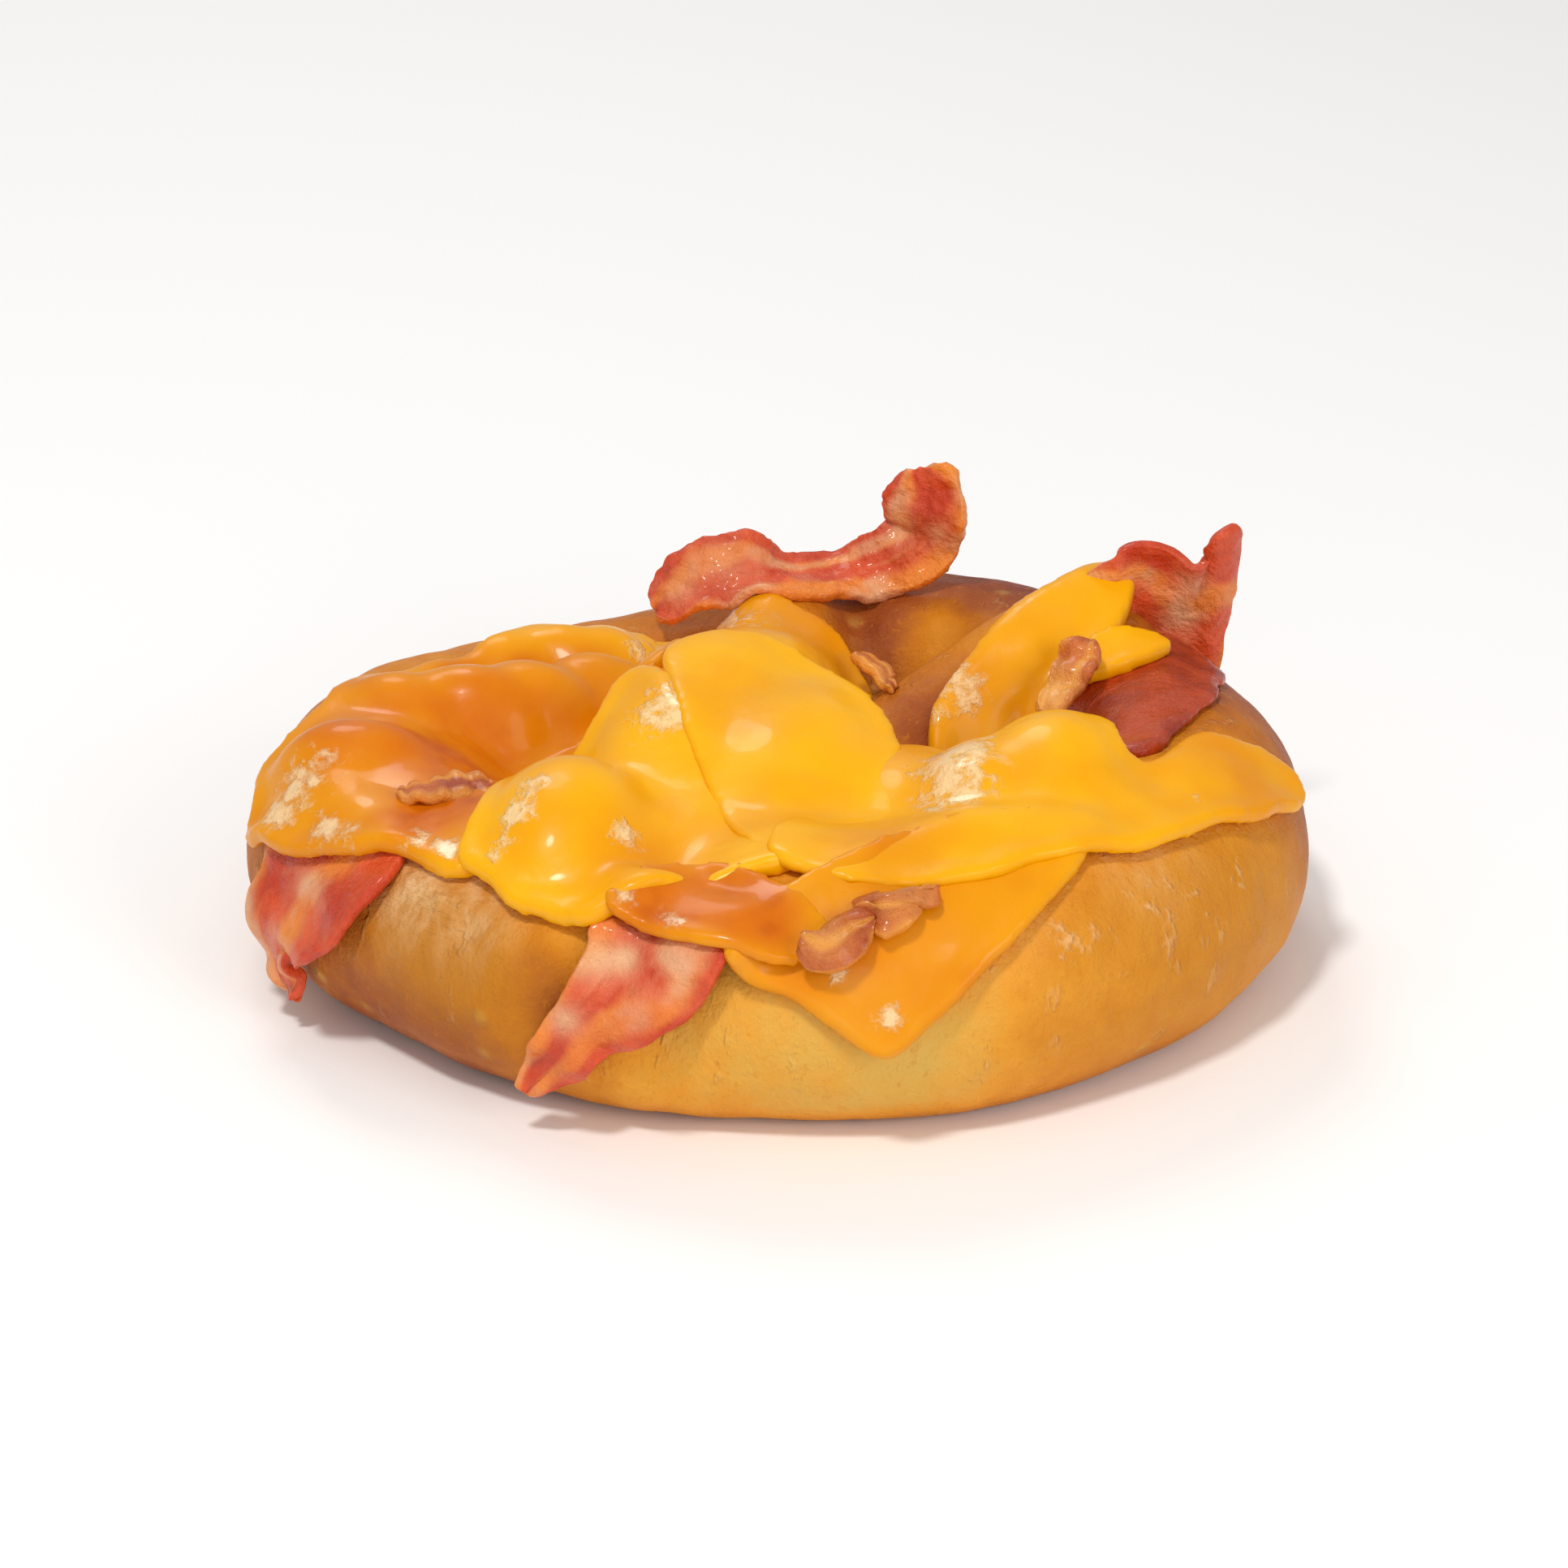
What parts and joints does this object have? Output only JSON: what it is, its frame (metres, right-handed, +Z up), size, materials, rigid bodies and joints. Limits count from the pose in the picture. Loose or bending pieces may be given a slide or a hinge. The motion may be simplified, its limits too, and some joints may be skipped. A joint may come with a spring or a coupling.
{
  "type": "soft pretzel",
  "caption": "Twisted soft pretzel with rounded loops and crossed arms, draped with melted cheese slices and bacon strips.",
  "frame": {"origin": "on the surface the pretzel rests on, under the middle of the whole object", "axes": "+X across both loops, from the loop on the left to the one on the right; +Y from the cleft between the loops towards the belly; +Z up"},
  "size_m": [0.1387, 0.1255, 0.0495],
  "materials": {
    "crust": "baked bread crust, satin, amber to red brown",
    "cheese": "melted cheese, smooth and glossy, orange yellow",
    "bacon": "cooked bacon, glossy, red meat with pale orange fat"
  },
  "bodies": {
    "root": {"pretzel_bread": "crust", "cheese_slice_centre": "cheese", "cheese_slice_right": "cheese", "cheese_slice_left_front": "cheese", "cheese_slice_left_back": "cheese", "cheese_slice_rear": "cheese", "cheese_slice_arm": "cheese", "cheese_slice_wave": "cheese", "cheese_slice_front": "cheese", "bacon_strip_rear_curl": "bacon", "bacon_strip_rear_right": "bacon", "bacon_strip_fold": "bacon", "bacon_strip_left": "bacon", "bacon_strip_front": "bacon", "bacon_bit_front": "bacon", "bacon_bit_left": "bacon", "bacon_bit_centre": "bacon"}
  },
  "joints": []
}
